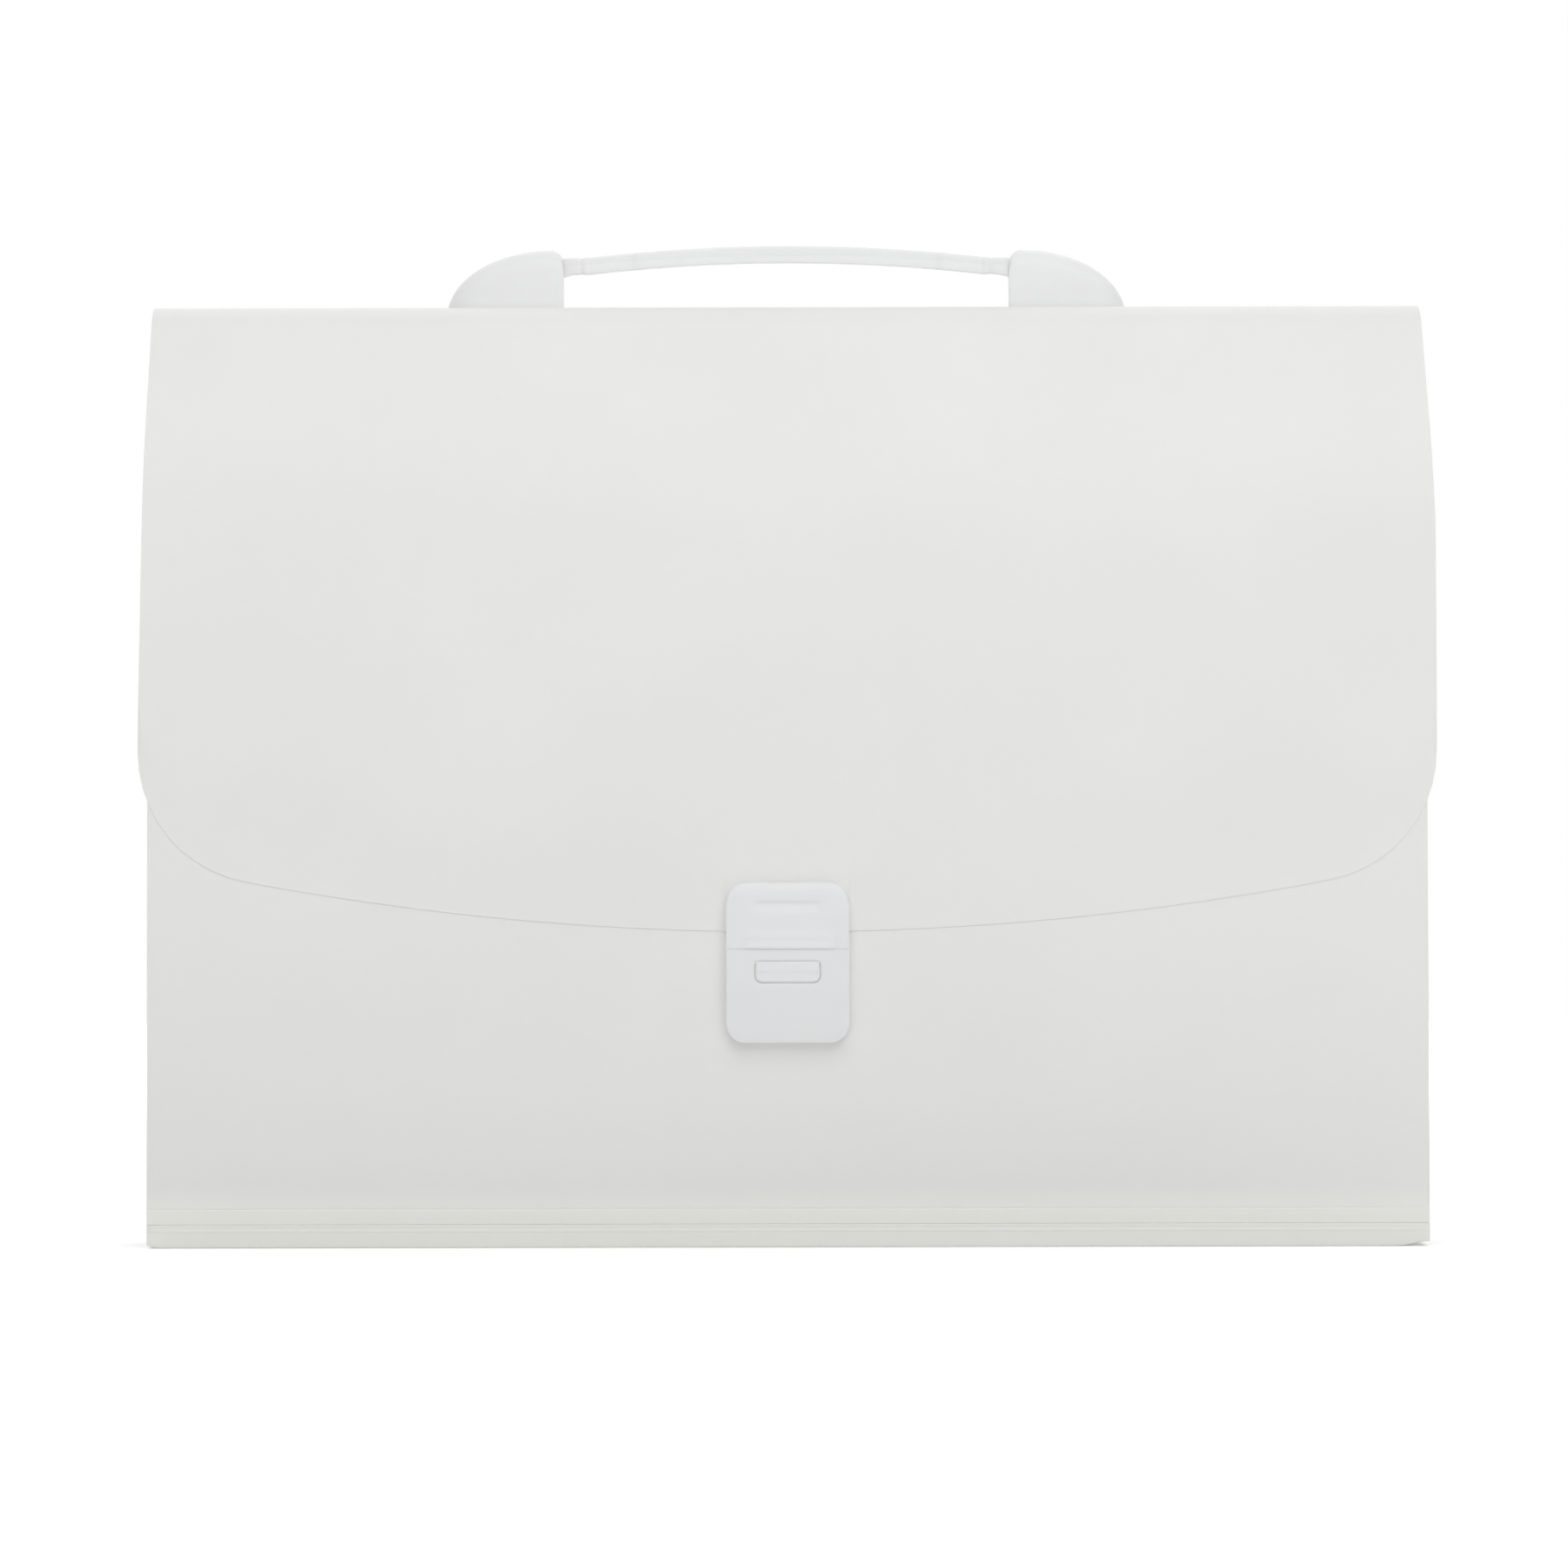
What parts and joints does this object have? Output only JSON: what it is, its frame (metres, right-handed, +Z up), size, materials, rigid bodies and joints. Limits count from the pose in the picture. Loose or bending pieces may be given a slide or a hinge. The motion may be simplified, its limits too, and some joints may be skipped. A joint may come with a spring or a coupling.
{
  "type": "expanding file organizer",
  "caption": "Expanding file for papers: a creased translucent cover with a fold-over flap, pleated pockets, a push clasp and a strap handle.",
  "frame": {"origin": "middle of the bounding box on the surface that the file stands on", "axes": "+Z up, the flap and clasp face -Y, +X to the right seen from the front"},
  "size_m": [0.335, 0.0438, 0.2618],
  "materials": {
    "cover": "translucent milky polypropylene sheet, fine sand grain",
    "divider": "translucent milky polypropylene sheet",
    "gusset": "thin translucent polypropylene film, pleated",
    "handle": "moulded milky plastic, satin",
    "clasp": "moulded milky plastic, satin",
    "fixing": "moulded milky plastic"
  },
  "bodies": {
    "back": {"back_panel": "cover", "bottom_panel": "cover", "crease_back_top": "cover", "crease_front_bottom": "cover", "gusset_left": "gusset", "gusset_right": "gusset"},
    "top": {"top_panel": "cover", "crease_front_top": "cover", "handle_mount_left": "handle", "handle_mount_right": "handle", "handle_backing_left": "fixing", "handle_backing_right": "fixing", "handle_rivets": "fixing", "handle_strap_left": "handle", "handle_strap_right": "handle"},
    "flap": {"flap": "cover", "clasp_plate": "clasp", "clasp_tongue": "clasp", "clasp_backing": "fixing", "clasp_rivets": "fixing"},
    "button": {"clasp_button": "clasp"},
    "grip": {"handle_grip": "handle"},
    "front": {"front_panel": "cover", "clasp_receiver": "clasp", "receiver_backing": "fixing", "receiver_rivets": "fixing"},
    "divider_1": {"divider_1": "divider"},
    "divider_2": {"divider_2": "divider"},
    "divider_3": {"divider_3": "divider"},
    "divider_4": {"divider_4": "divider"},
    "divider_5": {"divider_5": "divider"}
  },
  "joints": [
    {"name": "flap_lift", "type": "hinge", "parent": "back", "child": "top", "pos_m": [0, 0.02148, 0.2446], "axis": [-1, 0, 0], "range_deg": [0, 120], "deforming": ["crease_back_top"]},
    {"name": "flap_fold", "type": "hinge", "parent": "top", "child": "flap", "pos_m": [0, 0.00513, 0.24475], "axis": [-1, 0, 0], "range_deg": [0, 90], "deforming": ["crease_front_top"]},
    {"name": "clasp_press", "type": "hinge", "parent": "flap", "child": "button", "pos_m": [0, -0.01928, 0.0767], "axis": [1, 0, 0], "range_deg": [0, 6], "stiffness_Nm_per_rad": 0.02, "deforming": ["clasp_tongue"]},
    {"name": "handle_lift", "type": "slide", "parent": "top", "child": "grip", "axis": [0, 0, 1], "range_m": [0, 0.015], "deforming": ["handle_strap_left", "handle_strap_right"]},
    {"name": "front_tilt", "type": "hinge", "parent": "back", "child": "front", "pos_m": [0, -0.01607, 0.005], "axis": [1, 0, 0], "range_deg": [0, 20.01], "deforming": ["crease_front_bottom", "gusset_left", "gusset_right"]},
    {"name": "divider_1_tilt", "type": "hinge", "parent": "back", "child": "divider_1", "pos_m": [0, -0.00962, 0.0011], "axis": [1, 0, 0], "range_deg": [0, 18.62]},
    {"name": "divider_2_tilt", "type": "hinge", "parent": "back", "child": "divider_2", "pos_m": [0, -0.00343, 0.0011], "axis": [1, 0, 0], "range_deg": [0, 14.9]},
    {"name": "divider_3_tilt", "type": "hinge", "parent": "back", "child": "divider_3", "pos_m": [0, 0.00278, 0.0011], "axis": [1, 0, 0], "range_deg": [0, 10.01]},
    {"name": "divider_4_tilt", "type": "hinge", "parent": "back", "child": "divider_4", "pos_m": [0, 0.00898, 0.0011], "axis": [1, 0, 0], "range_deg": [0, 5.12]},
    {"name": "divider_5_tilt", "type": "hinge", "parent": "back", "child": "divider_5", "pos_m": [0, 0.01517, 0.0011], "axis": [1, 0, 0], "range_deg": [0, 1.4]}
  ],
  "couplings": [
    {"joint": "front_tilt", "follows": "flap_lift", "ratio": 0.16667},
    {"joint": "divider_1_tilt", "follows": "flap_lift", "ratio": 0.15507},
    {"joint": "divider_2_tilt", "follows": "flap_lift", "ratio": 0.12406},
    {"joint": "divider_3_tilt", "follows": "flap_lift", "ratio": 0.083333},
    {"joint": "divider_4_tilt", "follows": "flap_lift", "ratio": 0.042604},
    {"joint": "divider_5_tilt", "follows": "flap_lift", "ratio": 0.011597}
  ]
}
